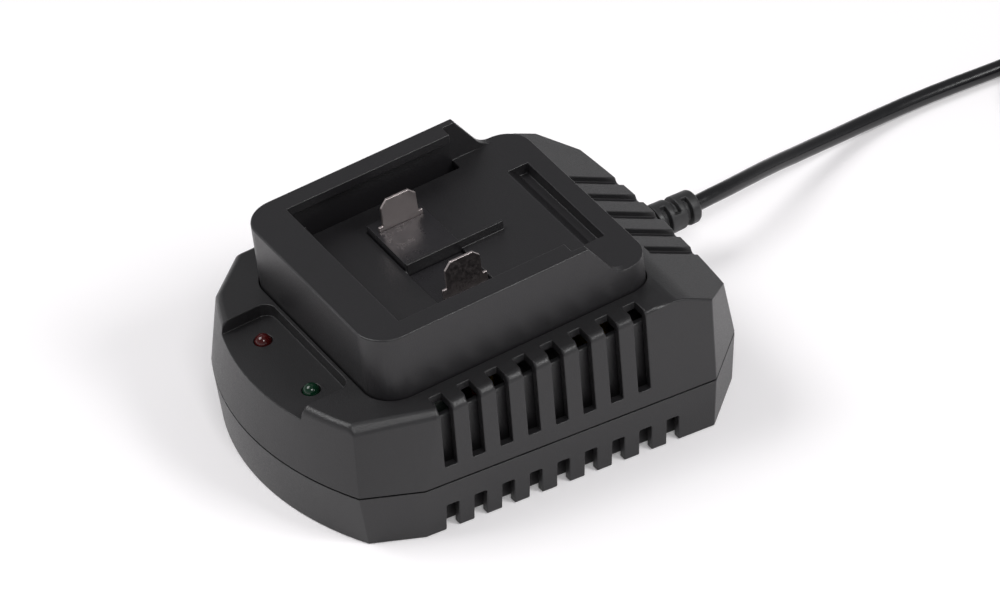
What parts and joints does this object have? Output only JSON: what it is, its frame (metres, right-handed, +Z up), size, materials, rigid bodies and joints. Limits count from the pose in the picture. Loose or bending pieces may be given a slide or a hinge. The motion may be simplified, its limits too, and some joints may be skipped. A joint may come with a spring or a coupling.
{
  "type": "power tool battery charger",
  "caption": "Tabletop charger for a slide-on tool battery: vented housing, raised rail dock with upright contact blades, status lights, and a mains cord with plug.",
  "frame": {"origin": "on the table under the middle of the housing", "axes": "+Z up, -Y towards the end with the lights, +Y towards the end where the cord leaves"},
  "size_m": [0.115, 0.3885, 0.0663],
  "materials": {
    "housing": "charcoal moulded plastic with a fine texture",
    "dock": "darker moulded plastic with a fine texture",
    "insulator": "smooth black",
    "contact": "nickel plated",
    "red_lens": "unlit tinted lens",
    "green_lens": "unlit tinted lens",
    "board": "glass fibre laminate",
    "ferrite": "dark ferrite",
    "bobbin": "pale moulding",
    "winding": "yellow tape over wire",
    "sleeve": "printed sleeve, no text",
    "yellow_case": "yellow case",
    "copper": "enamelled copper",
    "fuse_glass": "ceramic tube with end caps",
    "epoxy": "black epoxy",
    "sink": "plain extruded",
    "wire": "insulated wire",
    "screw": "zinc plated",
    "cord_rubber": "black sheath",
    "tie": "black strap",
    "plug_plastic": "black moulded plug"
  },
  "bodies": {
    "root": {"upper_housing": "housing", "lower_housing": "housing", "battery_dock": "dock", "terminal_holder": "insulator", "left_terminal": "contact", "right_terminal": "contact", "red_led": "red_lens", "green_led": "green_lens", "circuit_board": "board", "transformer_core": "ferrite", "transformer_bobbin": "bobbin", "transformer_winding": "winding", "mains_capacitor": "sleeve", "output_capacitors": "sleeve", "suppression_capacitor": "yellow_case", "filter_choke": "copper", "fuse": "fuse_glass", "bridge_rectifier": "epoxy", "switching_transistor": "epoxy", "output_diode": "epoxy", "heat_sink": "sink", "controller_chip": "epoxy", "optocoupler": "bobbin", "terminal_leads": "wire", "mains_leads": "wire", "cord_clamp": "insulator", "clamp_screws": "screw", "board_screws": "screw", "housing_screws": "screw", "strain_relief": "cord_rubber", "cord": "cord_rubber", "cord_coil": "cord_rubber", "coil_tie": "tie", "plug_body": "plug_plastic", "plug_pins": "contact"}
  },
  "joints": []
}
